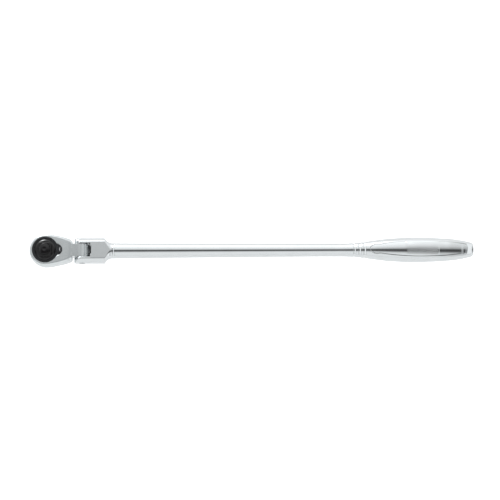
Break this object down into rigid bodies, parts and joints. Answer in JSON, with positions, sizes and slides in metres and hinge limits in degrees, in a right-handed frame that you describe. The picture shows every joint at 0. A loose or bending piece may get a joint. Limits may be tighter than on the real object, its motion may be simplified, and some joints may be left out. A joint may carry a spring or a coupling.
{
  "type": "ratchet wrench",
  "caption": "Long flex-head ratchet handle with a male drive square, push-button socket release, reversing lever and a swelling metal grip.",
  "frame": {"origin": "on the drive square's axis, at the level of the handle's long axis", "axes": "+X along the handle towards the grip's end, +Z towards the reversing lever, and the drive square points to -Z"},
  "size_m": [0.3821, 0.028, 0.0291],
  "materials": {
    "polished_chrome": "polished",
    "satin_chrome": "satin",
    "black_oxide": "satin",
    "black_plastic": "satin",
    "bare_steel": "satin",
    "spring_steel": "satin",
    "seal_rubber": "matte"
  },
  "bodies": {
    "handle": {"handle_shank": "polished_chrome", "pivot_screw": "satin_chrome", "pivot_washers": "spring_steel", "flex_detent_spring": "spring_steel"},
    "flex_plunger": {"flex_detent_plunger": "bare_steel"},
    "head": {"head_housing": "satin_chrome", "cover_plate": "black_oxide", "cover_retaining_ring": "black_oxide", "gear_cone_washer": "spring_steel", "drive_seal": "seal_rubber", "lever_seal": "seal_rubber"},
    "drive": {"drive_gear": "satin_chrome", "spinner_disc": "black_plastic", "spinner_clip": "spring_steel", "release_spring": "spring_steel"},
    "release": {"release_button": "black_plastic", "release_rod": "bare_steel"},
    "ball": {"socket_ball": "bare_steel"},
    "lever": {"reversing_lever": "black_oxide", "lever_clip": "spring_steel", "selector_plunger": "bare_steel", "selector_spring": "spring_steel"},
    "pawl": {"reversing_pawl": "bare_steel"}
  },
  "joints": [
    {"name": "flex_hinge", "type": "hinge", "parent": "handle", "child": "head", "pos_m": [0.031, 0, 0], "axis": [0, 1, 0], "range_deg": [-90, 90]},
    {"name": "flex_plunger_slide", "type": "slide", "parent": "handle", "child": "flex_plunger", "axis": [1, 0, 0], "range_m": [0, 0.0008], "stiffness_N_per_m": 3000, "springref_m": -0.001, "deforming": ["flex_detent_spring"]},
    {"name": "drive_spin", "type": "hinge", "parent": "head", "child": "drive", "pos_m": [0, 0, 0], "axis": [0, 0, 1], "continuous": true},
    {"name": "button_press", "type": "slide", "parent": "drive", "child": "release", "axis": [0, 0, -1], "range_m": [0, 0.0018], "stiffness_N_per_m": 1500, "springref_m": -0.002, "deforming": ["release_spring"]},
    {"name": "ball_retract", "type": "slide", "parent": "drive", "child": "ball", "axis": [0, 1, 0], "range_m": [0, 0.0005]},
    {"name": "lever_turn", "type": "hinge", "parent": "head", "child": "lever", "pos_m": [0.0115, 0, 0], "axis": [0, 0, 1], "range_deg": [-28, 28]},
    {"name": "pawl_rock", "type": "hinge", "parent": "head", "child": "pawl", "pos_m": [0.0115, 0, 0], "axis": [0, 0, 1], "range_deg": [-6, 6]}
  ],
  "couplings": [
    {"joint": "ball_retract", "follows": "button_press", "ratio": 0.2777},
    {"joint": "pawl_rock", "follows": "lever_turn", "ratio": 0.2142}
  ]
}
